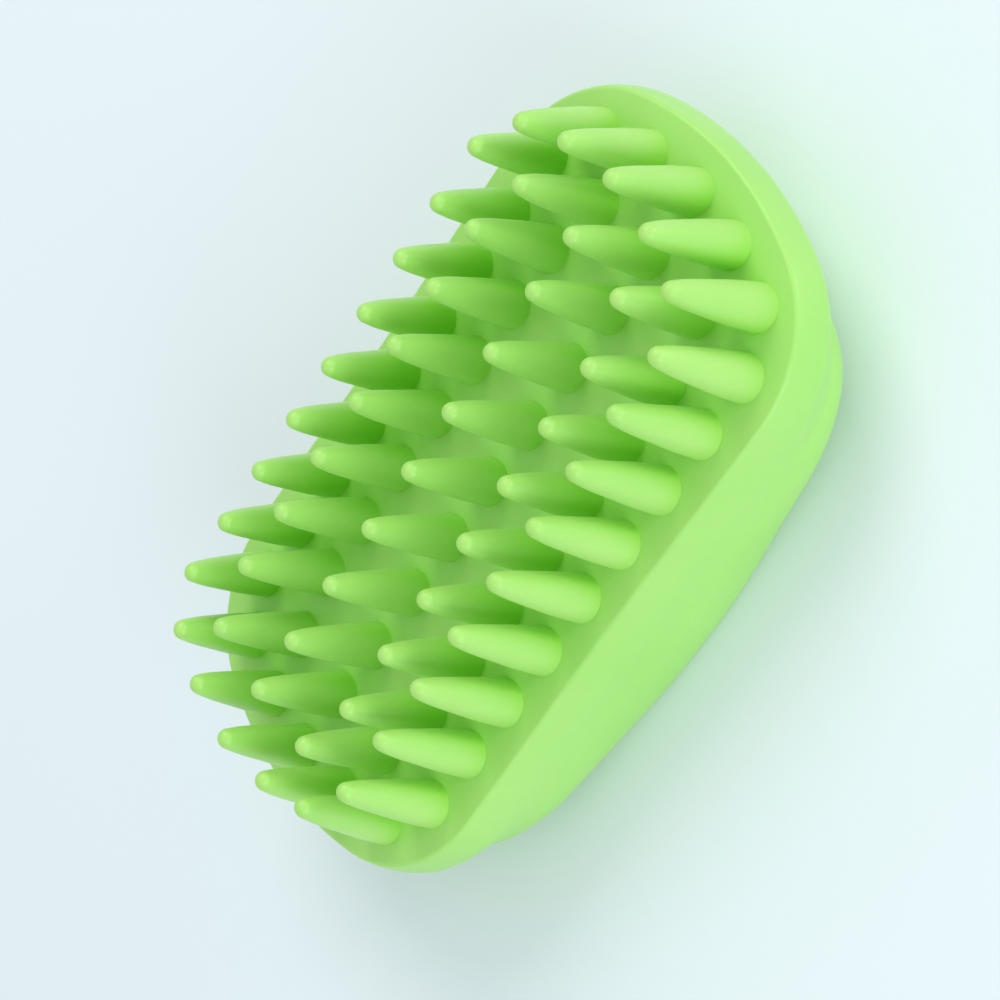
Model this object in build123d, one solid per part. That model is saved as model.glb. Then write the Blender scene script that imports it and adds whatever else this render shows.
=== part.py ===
from build123d import *
import os
from math import sin, cos, tan, pi, radians, hypot, atan2, degrees, sqrt

# Scalp massager brush: one soft silicone grip body with a flat bristle face and
# tapered bristles that each bend at the root.
# Frame: origin at the centre of the flat back, +Z out of the bristle face,
# +X along the length, +Y across the width. Millimetres.

# ---------------------------------------------------------------- body, driving sizes
BODY_H = 18.3            # flat back to bristle face
RIM_HALF_L = 48.3        # half length of the rim
RIM_HALF_W = 26.1        # half width of the rim where the sides meet the corners
RIM_SIDE_BULGE = 0.3     # extra half width at the middle of each long side
RIM_END_R = 45.6         # radius of the shallow curve across each short end
RIM_CORNER_R = 16.8      # radius of each corner
FACE_EDGE_R = 1.6        # soft edge between face and rim wall
RIM_WALL_BOTTOM = 13.9   # height at which the rim wall starts to curve in
NECK_H = 8.4             # height at which the grip wall starts to curve out to the rim
GRIP_HALF_L = 41.0       # half length of the raised grip under the rim
GRIP_HALF_W = 27.0       # half width of the grip before it meets the rim side
GRIP_POWER = 4.4         # squareness of the grip plan
GRIP_WALL_BOTTOM = 8.2   # height at which the grip wall rounds over to the back
BACK_HALF_L = 24.0       # half length of the flat back
BACK_HALF_W = 24.0       # half width of the flat back
BACK_POWER = 2.6

# ---------------------------------------------------------------- bristles, driving sizes
BRISTLE_L = 14.05        # face to tip
BRISTLE_TIP_R = 1.57
BRISTLE_ROOT_R = 2.90    # ball root, centred in the face plane
KNUCKLE_R = 2.80         # round band of the ball root, about the bending axis
ROOT_SHOULDER_H = 1.0    # height up to which the bristle follows the ball
ROOT_CLEARANCE = 0.08    # gap between the root and its socket
BRISTLE_BELLY = 0.10     # how far the flank bulges outside a straight taper

# root centre (x, y) and tip centre (x, y) of one quarter of the pattern
OUTER_ROW = [(8.00 * k, 19.80, 7.95 * k, 18.50) for k in range(-4, 5)]
OUTER_END = [(38.60, 15.90, 37.80, 14.95), (41.15, 8.25, 40.25, 8.10), (42.10, 0.0, 41.32, 0.0)]
INNER_ROW = [(8.25 * k, 12.00, 8.34 * k, 12.08) for k in range(-3, 4)]
INNER_END = [(32.85, 9.85, 32.85, 9.94), (33.40, 0.0, 33.42, 0.0)]
CENTRE_ROW = [(8.50 * k, 0.0, 8.60 * k, 0.0) for k in range(-3, 4)]

os.makedirs("parts", exist_ok=True)

# ---------------------------------------------------------------- plan curves
STATIONS = 96


def rim_quarter():
    xe = RIM_HALF_L - RIM_END_R
    yc = RIM_HALF_W - RIM_CORNER_R
    xc = xe + sqrt((RIM_END_R - RIM_CORNER_R) ** 2 - yc**2)
    pts = []
    for i in range(81):
        x = xc * i / 80
        pts.append((x, RIM_HALF_W + RIM_SIDE_BULGE * (1 - (x / xc) ** 2)))
    a = atan2(yc, xc - xe)
    for i in range(1, 61):
        t = pi / 2 + (a - pi / 2) * i / 60
        pts.append((xc + RIM_CORNER_R * cos(t), yc + RIM_CORNER_R * sin(t)))
    for i in range(1, 61):
        t = a * (1 - i / 60)
        pts.append((xe + RIM_END_R * cos(t), RIM_END_R * sin(t)))
    return pts


RIM = rim_quarter()


def rim_radius(th):
    # polar radius of the rim at angle th in the first quadrant
    for (x0, y0), (x1, y1) in zip(RIM, RIM[1:]):
        a0, a1 = atan2(y0, x0), atan2(y1, x1)
        if a1 <= th <= a0:
            s = 0 if a0 == a1 else (a0 - th) / (a0 - a1)
            return hypot(x0 + (x1 - x0) * s, y0 + (y1 - y0) * s)
    return RIM_HALF_L


def power_radius(a, b, n, th):
    return (abs(cos(th) / a) ** n + abs(sin(th) / b) ** n) ** (-1 / n)


def station_angles():
    # stations evenly spaced along the rim, mirrored from one quarter
    lengths = [0.0]
    for p, q in zip(RIM, RIM[1:]):
        lengths.append(lengths[-1] + hypot(q[0] - p[0], q[1] - p[1]))
    out = []
    n = STATIONS // 4
    for i in range(n + 1):
        d = lengths[-1] * (1 - i / n)
        for j in range(len(RIM) - 1):
            if lengths[j] <= d <= lengths[j + 1] + 1e-9:
                s = (d - lengths[j]) / (lengths[j + 1] - lengths[j])
                x = RIM[j][0] + (RIM[j + 1][0] - RIM[j][0]) * s
                y = RIM[j][1] + (RIM[j + 1][1] - RIM[j][1]) * s
                out.append(atan2(y, x))
                break
    return out  # 0 .. pi/2


QUARTER = station_angles()


def soft_min(a, b, k=0.6):
    # smooth lesser of two radii, so that the grip side runs into the rim side without a corner
    h = max(k - abs(a - b), 0) / k
    return min(a, b) - h * h * k / 4


def section_points(level):
    # level(rim, grip, back) gives the polar radius of the section at one station
    quarter = []
    for th in QUARTER:
        rim = rim_radius(th)
        grip = soft_min(power_radius(GRIP_HALF_L, GRIP_HALF_W, GRIP_POWER, th), rim)
        back = power_radius(BACK_HALF_L, BACK_HALF_W, BACK_POWER, th)
        r = level(rim, grip, back)
        quarter.append((r * cos(th), r * sin(th)))
    n = len(quarter)
    pts = quarter[:]                                              # 0 to 90 degrees
    pts += [(-x, y) for x, y in reversed(quarter[: n - 1])]       # to 180
    pts += [(-x, -y) for x, y in quarter[1:]]                     # to 270
    pts += [(x, -y) for x, y in reversed(quarter[1 : n - 1])]     # to 360
    return pts


def section_wire(z, level):
    pts = [Vector(x, y, z) for x, y in section_points(level)]
    return Wire([Edge.make_spline(pts, periodic=True)])


def body_levels():
    out = []
    # flat back, rounding up to the grip wall
    for deg in (0, 10, 22, 36, 52, 70, 90):
        p = radians(deg)
        out.append((GRIP_WALL_BOTTOM * (1 - cos(p)), lambda rim, grip, back, s=sin(p): back + (grip - back) * s))
    # the S-curve out to the underside of the rim
    for s in (0.15, 0.30, 0.45, 0.60, 0.75, 0.88, 1.0):
        w = s * s * (3 - 2 * s)
        z = NECK_H + (RIM_WALL_BOTTOM - NECK_H) * s
        out.append((z, lambda rim, grip, back, w=w: grip + (rim - grip) * w))
    # rim wall and the soft edge of the face
    for deg in (90, 62, 34, 0):
        p = radians(deg)
        z = BODY_H - FACE_EDGE_R * (1 - cos(p))
        out.append((z, lambda rim, grip, back, s=sin(p): rim - FACE_EDGE_R * (1 - s)))
    return out


levels = body_levels()
assert all(b[0] > a[0] for a, b in zip(levels, levels[1:]))
grip_body = Solid.make_loft([section_wire(z, f) for z, f in levels], False)
# the back is dressed dead flat at z = 0
grip_body = (grip_body & (Pos(0, 0, BODY_H / 2) * Box(120, 80, BODY_H))).solid()

# ---------------------------------------------------------------- bristle solids
def ball(radius):
    return Sphere(radius)


def band(radius, length=8.0):
    # round bar about the bending axis, which runs across the brush
    return Rot(90, 0, 0) * Cylinder(radius, length)


def bristle_flank():
    # half section from the shoulder on the ball root to the tip
    r0 = sqrt(BRISTLE_ROOT_R**2 - ROOT_SHOULDER_H**2)
    tip_c = BRISTLE_L - BRISTLE_TIP_R
    r1 = BRISTLE_TIP_R * 0.995
    z1 = tip_c + BRISTLE_TIP_R * sqrt(1 - 0.995**2)
    mid = ((r0 + r1) / 2 + BRISTLE_BELLY, (ROOT_SHOULDER_H + z1) / 2)
    low = ThreePointArc((0, -BRISTLE_ROOT_R), (BRISTLE_ROOT_R * cos(radians(-35)), BRISTLE_ROOT_R * sin(radians(-35))), (r0, ROOT_SHOULDER_H))
    side = ThreePointArc((r0, ROOT_SHOULDER_H), mid, (r1, z1))
    a = atan2(z1 - tip_c, r1)
    b = (a + pi / 2) / 2
    tip = ThreePointArc((r1, z1), (BRISTLE_TIP_R * cos(b), tip_c + BRISTLE_TIP_R * sin(b)), (0, BRISTLE_L))
    axis = Line((0, BRISTLE_L), (0, -BRISTLE_ROOT_R))
    return make_face([low, side, tip, axis])


half = Plane.XZ * bristle_flank()
upright = revolve(half, Axis.Z, 360)


def bristle(x0, y0, x1, y1):
    # lean the bristle from its root to its tip, then give the root its round band
    rise = BRISTLE_L - BRISTLE_TIP_R
    direction = Vector(x1 - x0, y1 - y0, rise).normalized()
    lean = Plane(origin=(0, 0, 0), z_dir=direction, x_dir=Vector(1, 0, 0) - direction * direction.X)
    shape = lean * upright
    lower = Pos(0, 0, -5) * Box(10, 10, 10)
    root = (shape & lower) & band(KNUCKLE_R)
    upper = shape & (Pos(0, 0, 10) * Box(20, 20, 20))
    whole = (root + upper).solid()
    return Pos(x0, y0, BODY_H) * whole


def socket(x0, y0):
    cup = ball(BRISTLE_ROOT_R + ROOT_CLEARANCE) & band(KNUCKLE_R + ROOT_CLEARANCE)
    return Pos(x0, y0, BODY_H) * cup


def layout():
    out = {}
    for side, sy in (("left", 1), ("right", -1)):
        for i, (a, b, c, d) in enumerate(OUTER_ROW, 1):
            out[f"bristle_outer_{side}_{i}"] = (a, sy * b, c, sy * d)
        for i, (a, b, c, d) in enumerate(INNER_ROW, 1):
            out[f"bristle_inner_{side}_{i}"] = (a, sy * b, c, sy * d)
    for end, sx in (("front", 1), ("rear", -1)):
        ring = [(q, 1) for q in OUTER_END] + [(q, -1) for q in reversed(OUTER_END[:-1])]
        for i, ((a, b, c, d), sy) in enumerate(ring, 1):
            out[f"bristle_outer_{end}_{i}"] = (sx * a, sy * b, sx * c, sy * d)
        ring = [(q, 1) for q in INNER_END] + [(q, -1) for q in reversed(INNER_END[:-1])]
        for i, ((a, b, c, d), sy) in enumerate(ring, 1):
            out[f"bristle_inner_{end}_{i}"] = (sx * a, sy * b, sx * c, sy * d)
    for i, (a, b, c, d) in enumerate(CENTRE_ROW, 1):
        out[f"bristle_centre_{i}"] = (a, b, c, d)
    return out


places = layout()
print("bristles", len(places))
cups = [socket(x0, y0) for x0, y0, _, _ in places.values()]
grip_body = (grip_body - cups).solid()
print("body volume", round(grip_body.volume), "valid", grip_body.is_valid, grip_body.bounding_box())
export_step(grip_body, "parts/grip_body.step")
for name, (x0, y0, x1, y1) in places.items():
    b = bristle(x0, y0, x1, y1)
    assert b.is_valid and b.volume > 200, name
    export_step(b, f"parts/{name}.step")
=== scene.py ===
import bpy
from math import sin, cos, pi, radians, hypot, atan2, sqrt
from mathutils import Matrix, Vector


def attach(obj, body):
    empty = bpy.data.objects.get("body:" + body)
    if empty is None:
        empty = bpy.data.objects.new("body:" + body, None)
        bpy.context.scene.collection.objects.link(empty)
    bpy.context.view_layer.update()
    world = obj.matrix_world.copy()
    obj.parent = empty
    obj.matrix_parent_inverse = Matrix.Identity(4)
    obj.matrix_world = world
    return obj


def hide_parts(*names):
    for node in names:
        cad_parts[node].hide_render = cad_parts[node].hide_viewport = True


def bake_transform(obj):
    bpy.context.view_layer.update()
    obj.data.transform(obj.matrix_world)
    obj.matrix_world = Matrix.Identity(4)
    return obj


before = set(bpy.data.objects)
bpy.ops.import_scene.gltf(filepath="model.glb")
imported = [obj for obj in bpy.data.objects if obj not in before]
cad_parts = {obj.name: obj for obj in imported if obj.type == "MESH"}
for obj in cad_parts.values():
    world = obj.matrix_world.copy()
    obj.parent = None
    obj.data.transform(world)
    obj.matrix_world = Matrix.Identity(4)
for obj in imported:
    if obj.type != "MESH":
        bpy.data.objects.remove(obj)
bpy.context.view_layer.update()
MM = 0.001

# ------------------------------------------------------------------ sizes, mm, in the row frame
BODY_H = 18.3
RIM_HALF_L, RIM_HALF_W, RIM_SIDE_BULGE = 48.3, 26.1, 0.3
RIM_END_R, RIM_CORNER_R = 45.6, 16.8
LIP_DRAFT_SIDE, LIP_DRAFT_END = 1.1, 0.45
FACE_EDGE_R, FACE_EDGE_START = 0.7, 22
RIM_WALL_BOTTOM = 13.9
NECK_H = 8.4
GRIP_HALF_L, GRIP_HALF_W, GRIP_POWER = 41.0, 27.0, 4.4
GRIP_WALL_BOTTOM = 8.2
BACK_HALF_L, BACK_HALF_W, BACK_POWER = 24.0, 24.0, 2.6

BRISTLE_L = 14.05
TIP_R = 1.20
TIP_BLEND = 12.5
FOOT_H, FOOT_OUT = 0.35, 0.03

OUTER_ROW = [(8.00 * k, 19.80, 7.95 * k, 18.50) for k in range(-4, 5)]
OUTER_END = [(38.60, 15.90, 37.80, 14.95), (41.15, 8.25, 40.25, 8.10), (42.10, 0.0, 41.32, 0.0)]
INNER_ROW = [(8.25 * k, 12.00, 8.34 * k, 12.08) for k in range(-3, 4)]
INNER_END = [(32.85, 9.85, 32.85, 9.94), (33.40, 0.0, 33.42, 0.0)]
CENTRE_ROW = [(8.50 * k, 0.0, 8.60 * k, 0.0) for k in range(-3, 4)]


def layout():
    out = {}
    for side, sy in (("left", 1), ("right", -1)):
        for i, (a, b, c, d) in enumerate(OUTER_ROW, 1):
            out[f"bristle_outer_{side}_{i}"] = (a, sy * b, c, sy * d)
        for i, (a, b, c, d) in enumerate(INNER_ROW, 1):
            out[f"bristle_inner_{side}_{i}"] = (a, sy * b, c, sy * d)
    for end, sx in (("front", 1), ("rear", -1)):
        ring = [(q, 1) for q in OUTER_END] + [(q, -1) for q in reversed(OUTER_END[:-1])]
        for i, ((a, b, c, d), sy) in enumerate(ring, 1):
            out[f"bristle_outer_{end}_{i}"] = (sx * a, sy * b, sx * c, sy * d)
        ring = [(q, 1) for q in INNER_END] + [(q, -1) for q in reversed(INNER_END[:-1])]
        for i, ((a, b, c, d), sy) in enumerate(ring, 1):
            out[f"bristle_inner_{end}_{i}"] = (sx * a, sy * b, sx * c, sy * d)
    for i, (a, b, c, d) in enumerate(CENTRE_ROW, 1):
        out[f"bristle_centre_{i}"] = (a, b, c, d)
    return out


PLACES = layout()

# ------------------------------------------------------------------ body surface


def rim_quarter():
    xe = RIM_HALF_L - RIM_END_R
    yc = RIM_HALF_W - RIM_CORNER_R
    xc = xe + sqrt((RIM_END_R - RIM_CORNER_R) ** 2 - yc**2)
    pts = []
    for i in range(121):
        x = xc * i / 120
        pts.append((x, RIM_HALF_W + RIM_SIDE_BULGE * (1 - (x / xc) ** 2)))
    a = atan2(yc, xc - xe)
    for i in range(1, 121):
        t = pi / 2 + (a - pi / 2) * i / 120
        pts.append((xc + RIM_CORNER_R * cos(t), yc + RIM_CORNER_R * sin(t)))
    for i in range(1, 121):
        t = a * (1 - i / 120)
        pts.append((xe + RIM_END_R * cos(t), RIM_END_R * sin(t)))
    return pts


RIM = rim_quarter()


def rim_radius(th):
    for (x0, y0), (x1, y1) in zip(RIM, RIM[1:]):
        a0, a1 = atan2(y0, x0), atan2(y1, x1)
        if a1 <= th <= a0:
            s = 0 if a0 == a1 else (a0 - th) / (a0 - a1)
            return hypot(x0 + (x1 - x0) * s, y0 + (y1 - y0) * s)
    return RIM_HALF_L


def lip_draft(th):
    return LIP_DRAFT_END + (LIP_DRAFT_SIDE - LIP_DRAFT_END) * (sin(th) ** 2) ** 0.7


def power_radius(a, b, n, th):
    return (abs(cos(th) / a) ** n + abs(sin(th) / b) ** n) ** (-1 / n)


def soft_min(a, b, k=0.6):
    h = max(k - abs(a - b), 0) / k
    return min(a, b) - h * h * k / 4


def station_angles(n):
    lengths = [0.0]
    for p, q in zip(RIM, RIM[1:]):
        lengths.append(lengths[-1] + hypot(q[0] - p[0], q[1] - p[1]))
    out = []
    for i in range(n + 1):
        d = lengths[-1] * (1 - i / n)
        for j in range(len(RIM) - 1):
            if lengths[j] <= d <= lengths[j + 1] + 1e-9:
                s = (d - lengths[j]) / (lengths[j + 1] - lengths[j])
                out.append(atan2(RIM[j][1] + (RIM[j + 1][1] - RIM[j][1]) * s, RIM[j][0] + (RIM[j + 1][0] - RIM[j][0]) * s))
                break
    return out


QUARTER_N = 56
QUARTER = station_angles(QUARTER_N)
RADII = []
for th in QUARTER:
    rim = rim_radius(th)
    grip = soft_min(power_radius(GRIP_HALF_L, GRIP_HALF_W, GRIP_POWER, th), rim)
    RADII.append((th, rim, grip, power_radius(BACK_HALF_L, BACK_HALF_W, BACK_POWER, th), lip_draft(th)))


def ring(level):
    quarter = []
    for th, rim, grip, back, lip in RADII:
        r = level(rim, grip, back, lip)
        quarter.append((r * cos(th), r * sin(th)))
    n = len(quarter)
    pts = quarter[:]
    pts += [(-x, y) for x, y in reversed(quarter[: n - 1])]
    pts += [(-x, -y) for x, y in quarter[1:]]
    pts += [(x, -y) for x, y in reversed(quarter[1 : n - 1])]
    return pts


def body_levels():
    out = []
    for i in range(0, 19):
        p = radians(5 * i)
        out.append((GRIP_WALL_BOTTOM * (1 - cos(p)), lambda rim, grip, back, lip, s=sin(p): back + (grip - back) * s))
    for i in range(1, 19):
        s = i / 18
        w = s * s * (3 - 2 * s)
        out.append((NECK_H + (RIM_WALL_BOTTOM - NECK_H) * s, lambda rim, grip, back, lip, w=w: grip + (rim - grip) * w))
    a0 = radians(FACE_EDGE_START)
    top = BODY_H - FACE_EDGE_R * (1 - sin(a0))
    for i in range(1, 10):
        s = i / 10
        out.append((RIM_WALL_BOTTOM + (top - RIM_WALL_BOTTOM) * s, lambda rim, grip, back, lip, s=s: rim - lip * s * s))
    for i in range(0, 11):
        p = a0 + (pi / 2 - a0) * i / 10
        out.append((BODY_H - FACE_EDGE_R * (1 - sin(p)), lambda rim, grip, back, lip, c=cos(a0) - cos(p): rim - lip - FACE_EDGE_R * c))
    return out


def make_mesh(name, verts, faces, attrs=None):
    me = bpy.data.meshes.new(name)
    me.from_pydata(verts, [], faces)
    me.polygons.foreach_set("use_smooth", [True] * len(me.polygons))
    for key, values in (attrs or {}).items():
        a = me.attributes.new(key, "FLOAT", "POINT")
        a.data.foreach_set("value", values)
    me.update()
    ob = bpy.data.objects.new(name, me)
    bpy.context.scene.collection.objects.link(ob)
    return ob


def cap(verts, faces, first, n, z, up, steps=10):
    # closes a flat end with rings that shrink to one point, so that it shades evenly
    base = [verts[first + i] for i in range(n)]
    last = [first + i for i in range(n)]
    for k in range(1, steps):
        s = 1 - k / steps
        now = []
        for i in range(n):
            now.append(len(verts))
            verts.append((base[i][0] * s, base[i][1] * s, z))
        for i in range(n):
            j = (i + 1) % n
            q = (last[i], last[j], now[j], now[i])
            faces.append(q if up else q[::-1])
        last = now
    c = len(verts)
    verts.append((0.0, 0.0, z))
    for i in range(n):
        j = (i + 1) % n
        q = (last[i], last[j], c)
        faces.append(q if up else q[::-1])


def build_body():
    verts, faces = [], []
    levels = body_levels()
    n = None
    for z, f in levels:
        pts = ring(f)
        n = len(pts)
        verts += [(x * MM, y * MM, z * MM) for x, y in pts]
    for k in range(len(levels) - 1):
        a, b = k * n, (k + 1) * n
        for i in range(n):
            j = (i + 1) % n
            faces.append((a + i, a + j, b + j, b + i))
    cap(verts, faces, (len(levels) - 1) * n, n, BODY_H * MM, True)
    cap(verts, faces, 0, n, 0.0, False)
    return make_mesh("silicone_body", verts, faces)


# ------------------------------------------------------------------ bristles
# radius of the flank against height over the face, mm
FLANK = [(0.0, 2.80), (1.0, 2.73), (2.3, 2.63), (4.0, 2.49), (5.5, 2.32), (7.0, 2.13), (8.6, 1.935), (10.2, 1.725), (11.65, 1.49), (13.11, 1.1716)]


def flank(h):
    # smooth curve through the table
    pts = FLANK
    if h <= pts[0][0]:
        return pts[0][1]
    for i in range(len(pts) - 1):
        x0, y0 = pts[i]
        x1, y1 = pts[i + 1]
        if h <= x1:
            t = (h - x0) / (x1 - x0)
            m0 = (pts[i + 1][1] - pts[i - 1][1]) / (pts[i + 1][0] - pts[i - 1][0]) if i else (y1 - y0) / (x1 - x0)
            m1 = (pts[i + 2][1] - pts[i][1]) / (pts[i + 2][0] - pts[i][0]) if i + 2 < len(pts) else -0.225
            d = x1 - x0
            return (2 * t**3 - 3 * t**2 + 1) * y0 + (t**3 - 2 * t**2 + t) * d * m0 + (-2 * t**3 + 3 * t**2) * y1 + (t**3 - t**2) * d * m1
    return pts[-1][1]


def bristle_profile():
    # (height, radius), from the buried skirt up to the tip
    out = [(-0.35, flank(0) + FOOT_OUT + 0.02), (-0.05, flank(0) + FOOT_OUT + 0.02)]
    for i in range(0, 10):
        s = i / 9
        out.append((FOOT_H * s * s + 0.002, flank(FOOT_H * s * s) + FOOT_OUT * (1 - s * s) ** 2.4))
    tip_c = BRISTLE_L - TIP_R
    t0 = radians(TIP_BLEND)
    top = tip_c + TIP_R * sin(t0)
    n = 24
    for i in range(1, n):
        h = FOOT_H + (top - FOOT_H) * i / n
        out.append((h, flank(h)))
    for i in range(0, 12):
        a = t0 + (pi / 2 - t0) * i / 12
        out.append((tip_c + TIP_R * sin(a), TIP_R * cos(a)))
    return out


PROFILE = bristle_profile()
SEG = 40


def build_bristle(name, place):
    x0, y0, x1, y1 = place
    verts, faces, tipness = [], [], []
    tip_c = BRISTLE_L - TIP_R
    for h, r in PROFILE:
        s = min(max(h, 0), tip_c) / tip_c
        s2 = max(h, 0) / tip_c
        cx, cy = x0 + (x1 - x0) * s2, y0 + (y1 - y0) * s2
        for i in range(SEG):
            a = 2 * pi * i / SEG
            verts.append(((cx + r * cos(a)) * MM, (cy + r * sin(a)) * MM, (BODY_H + h) * MM))
            tipness.append(min(max(h, 0) / BRISTLE_L, 1))
    n = len(PROFILE)
    for k in range(n - 1):
        a, b = k * SEG, (k + 1) * SEG
        for i in range(SEG):
            j = (i + 1) % SEG
            faces.append((a + i, a + j, b + j, b + i))
    top = len(verts)
    s2 = BRISTLE_L / tip_c
    verts.append(((x0 + (x1 - x0) * s2) * MM, (y0 + (y1 - y0) * s2) * MM, (BODY_H + BRISTLE_L) * MM))
    tipness.append(1.0)
    for i in range(SEG):
        faces.append(((n - 1) * SEG + i, (n - 1) * SEG + (i + 1) % SEG, top))
    low = len(verts)
    verts.append((x0 * MM, y0 * MM, (BODY_H + PROFILE[0][0]) * MM))
    tipness.append(0.0)
    for i in range(SEG):
        faces.append(((i + 1) % SEG, i, low))
    return make_mesh(name + "_skin", verts, faces, {"tipness": tipness})


# ------------------------------------------------------------------ silicone material
def silicone(name, colour, painted_shade_tint, is_bristle):
    # colour: the silicone's own green, as open, lit silicone shows it; the other tint is painted shade,
    # a darker, richer green multiplied into the crevices in place of light bounced between green surfaces
    m = bpy.data.materials.new(name)
    m.use_nodes = True
    nt = m.node_tree
    nt.nodes.clear()
    N, L = nt.nodes.new, nt.links.new
    out = N("ShaderNodeOutputMaterial")
    p = N("ShaderNodeBsdfPrincipled")
    L(p.outputs["BSDF"], out.inputs["Surface"])
    co = N("ShaderNodeTexCoord")
    # slow cloudiness of the pigment in the moulded silicone
    cloud = N("ShaderNodeTexNoise")
    cloud.inputs["Scale"].default_value = 55
    cloud.inputs["Detail"].default_value = 3
    L(co.outputs["Object"], cloud.inputs["Vector"])
    ramp = N("ShaderNodeValToRGB")
    ramp.color_ramp.elements[0].position = 0.32
    ramp.color_ramp.elements[0].color = (colour[0] * 0.93, colour[1] * 0.97, colour[2] * 0.90, 1)
    ramp.color_ramp.elements[1].position = 0.70
    ramp.color_ramp.elements[1].color = (min(colour[0] * 1.05, 1), min(colour[1] * 1.01, 1), min(colour[2] * 1.07, 1), 1)
    L(cloud.outputs["Fac"], ramp.inputs["Fac"])
    col = ramp.outputs["Color"]
    # painted shade: ambient occlusion finds crevices and bristle roots, where the base colour is darkened
    ao = N("ShaderNodeAmbientOcclusion")
    ao.samples = 6
    ao.inputs["Distance"].default_value = 0.008
    painted_shade_ramp = N("ShaderNodeMapRange")
    painted_shade_ramp.interpolation_type = "SMOOTHSTEP"
    painted_shade_ramp.inputs["From Min"].default_value = 0.22
    painted_shade_ramp.inputs["From Max"].default_value = 0.72
    painted_shade_ramp.inputs["To Min"].default_value = 1.0
    painted_shade_ramp.inputs["To Max"].default_value = 0.0
    L(ao.outputs["AO"], painted_shade_ramp.inputs["Value"])
    fac = painted_shade_ramp.outputs["Result"]
    if is_bristle:
        # the painted shade fades out toward the tip, so the tip keeps the plain silicone green
        at = N("ShaderNodeAttribute")
        at.attribute_name = "tipness"
        tip = N("ShaderNodeMapRange")
        tip.interpolation_type = "SMOOTHSTEP"
        tip.inputs["From Min"].default_value = 0.55
        tip.inputs["From Max"].default_value = 1.0
        tip.inputs["To Min"].default_value = 1.0
        tip.inputs["To Max"].default_value = 0.0
        L(at.outputs["Fac"], tip.inputs["Value"])
        mul = N("ShaderNodeMath")
        mul.operation = "MULTIPLY"
        L(fac, mul.inputs[0])
        L(tip.outputs["Result"], mul.inputs[1])
        fac = mul.outputs["Value"]
    else:
        # the painted shade is kept to the bristle face, the only place with crevices
        geo = N("ShaderNodeSeparateXYZ")
        L(co.outputs["Object"], geo.inputs["Vector"])
        high = N("ShaderNodeMapRange")
        high.inputs["From Min"].default_value = BODY_H * MM - 0.0008
        high.inputs["From Max"].default_value = BODY_H * MM - 0.0001
        L(geo.outputs["Z"], high.inputs["Value"])
        mul = N("ShaderNodeMath")
        mul.operation = "MULTIPLY"
        L(fac, mul.inputs[0])
        L(high.outputs["Result"], mul.inputs[1])
        fac = mul.outputs["Value"]
    # painted shade: multiplies the base colour by the darker crevice green wherever the occlusion mask is high
    mx = N("ShaderNodeMix")
    mx.data_type = "RGBA"
    mx.blend_type = "MULTIPLY"
    mx.inputs[7].default_value = (*painted_shade_tint, 1)
    L(fac, mx.inputs["Factor"])
    L(col, mx.inputs[6])
    col = mx.outputs[2]
    L(col, p.inputs["Base Color"])
    # satin: roughness drifts a little, with faint handling marks
    fine = N("ShaderNodeTexNoise")
    fine.inputs["Scale"].default_value = 420
    fine.inputs["Detail"].default_value = 4
    L(co.outputs["Object"], fine.inputs["Vector"])
    mr = N("ShaderNodeMapRange")
    mr.inputs["From Min"].default_value = 0.3
    mr.inputs["From Max"].default_value = 0.7
    mr.inputs["To Min"].default_value = 0.38
    mr.inputs["To Max"].default_value = 0.47
    L(fine.outputs["Fac"], mr.inputs["Value"])
    L(mr.outputs["Result"], p.inputs["Roughness"])
    # fine spark-eroded mould grain, a few hundredths of a millimetre
    grain = N("ShaderNodeTexNoise")
    grain.inputs["Scale"].default_value = 3200
    grain.inputs["Detail"].default_value = 3
    L(co.outputs["Object"], grain.inputs["Vector"])
    b1 = N("ShaderNodeBump")
    b1.inputs["Strength"].default_value = 0.05
    b1.inputs["Distance"].default_value = 0.0001
    L(grain.outputs["Fac"], b1.inputs["Height"])
    wave = N("ShaderNodeTexNoise")
    wave.inputs["Scale"].default_value = 90
    wave.inputs["Detail"].default_value = 1
    L(co.outputs["Object"], wave.inputs["Vector"])
    b2 = N("ShaderNodeBump")
    b2.inputs["Strength"].default_value = 0.04
    b2.inputs["Distance"].default_value = 0.001
    L(wave.outputs["Fac"], b2.inputs["Height"])
    L(b1.outputs["Normal"], b2.inputs["Normal"])
    L(b2.outputs["Normal"], p.inputs["Normal"])
    p.inputs["IOR"].default_value = 1.50
    p.inputs["Specular IOR Level"].default_value = 0.60
    p.inputs["Subsurface Weight"].default_value = 0.20
    p.inputs["Subsurface Radius"].default_value = (0.35, 1.0, 0.15)
    p.inputs["Subsurface Scale"].default_value = 0.0007
    p.inputs["Sheen Weight"].default_value = 0.06
    p.inputs["Sheen Roughness"].default_value = 0.5
    p.inputs["Sheen Tint"].default_value = (0.95, 1.0, 0.95, 1)
    return m


MAT_BODY = silicone("silicone_green_body", (0.380, 0.735, 0.155), (0.72, 1.03, 0.22), False)
MAT_BRISTLE = silicone("silicone_green_bristle", (0.40, 0.74, 0.150), (0.76, 1.02, 0.30), True)

body = build_body()
body.data.materials.append(MAT_BODY)
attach(body, "grip")
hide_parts("grip_body")

for name, place in PLACES.items():
    ob = build_bristle(name, place)
    ob.data.materials.append(MAT_BRISTLE)
    x0, y0, x1, y1 = place
    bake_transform(ob)
    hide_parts(name)

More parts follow.
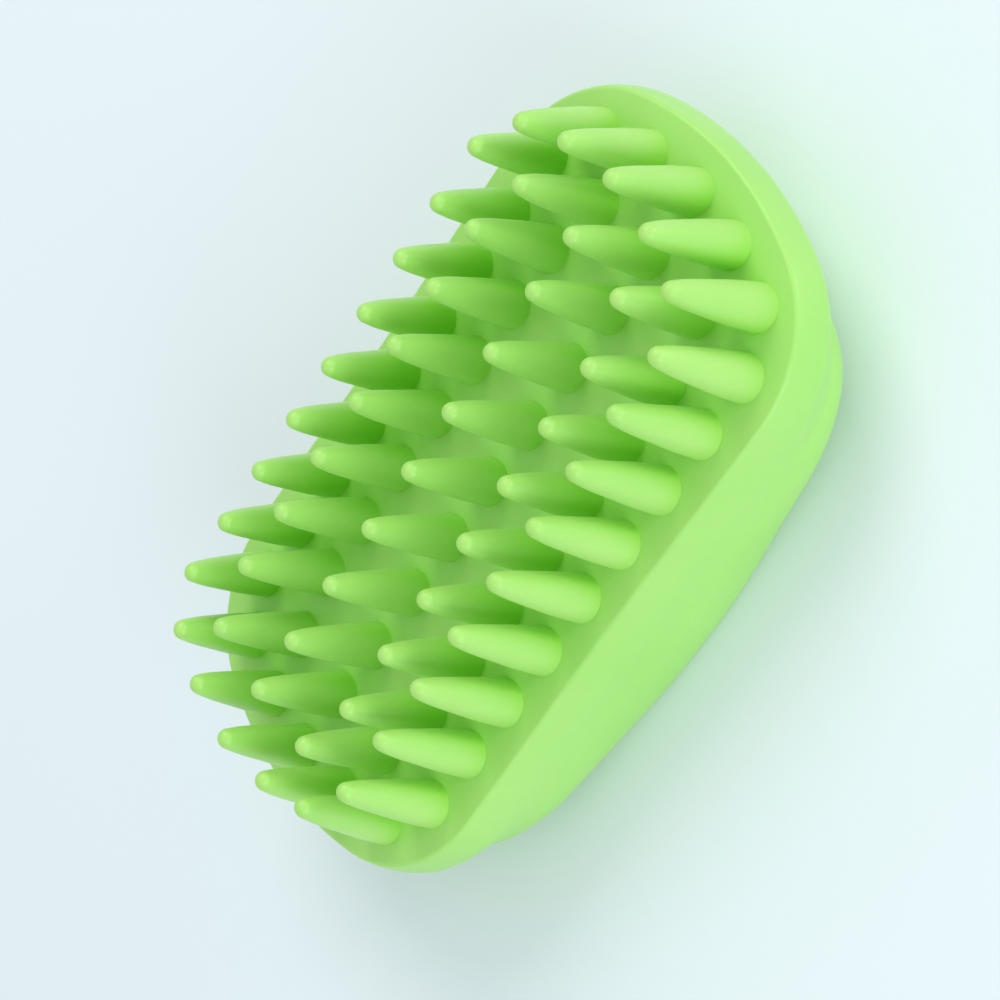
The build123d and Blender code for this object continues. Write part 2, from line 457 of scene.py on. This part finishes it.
# ------------------------------------------------------------------ stage, light, camera
floor = make_mesh("floor", [(-3, -3, 0), (3, -3, 0), (3, 3, 0), (-3, 3, 0)], [(0, 1, 2, 3)])
fm = bpy.data.materials.new("pale_floor")
fm.use_nodes = True
fb = fm.node_tree.nodes["Principled BSDF"]
fb.inputs["Base Color"].default_value = (0.80, 0.875, 0.90, 1)
fb.inputs["Roughness"].default_value = 0.7
fb.inputs["Specular IOR Level"].default_value = 0.2
floor.data.materials.append(fm)

world = bpy.data.worlds.new("studio")
bpy.context.scene.world = world
world.use_nodes = True
bg = world.node_tree.nodes["Background"]
bg.inputs["Color"].default_value = (0.95, 0.985, 1.0, 1)
bg.inputs["Strength"].default_value = 0.70


def area(name, loc, target, size, power, colour=(1, 1, 1)):
    d = bpy.data.lights.new(name, "AREA")
    d.shape = "DISK"
    d.size = size
    d.energy = power
    d.color = colour
    o = bpy.data.objects.new(name, d)
    bpy.context.scene.collection.objects.link(o)
    o.location = loc
    o.rotation_mode = "QUATERNION"
    o.rotation_quaternion = (Vector(loc) - Vector(target)).to_track_quat("Z", "Y")
    return o


area("key", (0.46, 0.40, 0.62), (0, 0, 0.015), 0.50, 2.45)
area("side", (0.04, -0.76, 0.34), (0, 0, 0.010), 0.55, 2.45, (0.85, 0.97, 1.08))
area("kicker", (0.82, -0.34, 0.15), (0, 0, 0.018), 0.22, 1.35)

cam_d = bpy.data.cameras.new("camera")
cam = bpy.data.objects.new("camera", cam_d)
bpy.context.scene.collection.objects.link(cam)
cam_d.sensor_width = 36
cam_d.lens = 116.0
cam_d.clip_start = 0.01
cam_d.clip_end = 20
right = Vector((0.5306, -0.5158, -0.6726)).normalized()
up = Vector((0.7497, 0.6559, 0.0885))
up = (up - right * up.dot(right)).normalized()
back = right.cross(up)
cam.matrix_world = Matrix((
    (right.x, up.x, back.x, 0.14478),
    (right.y, up.y, back.y, -0.20497),
    (right.z, up.z, back.z, 0.26965 + BODY_H * MM),
    (0, 0, 0, 1),
))
bpy.context.scene.camera = cam
bpy.context.scene.view_settings.view_transform = "Standard"

bpy.context.view_layer.update()
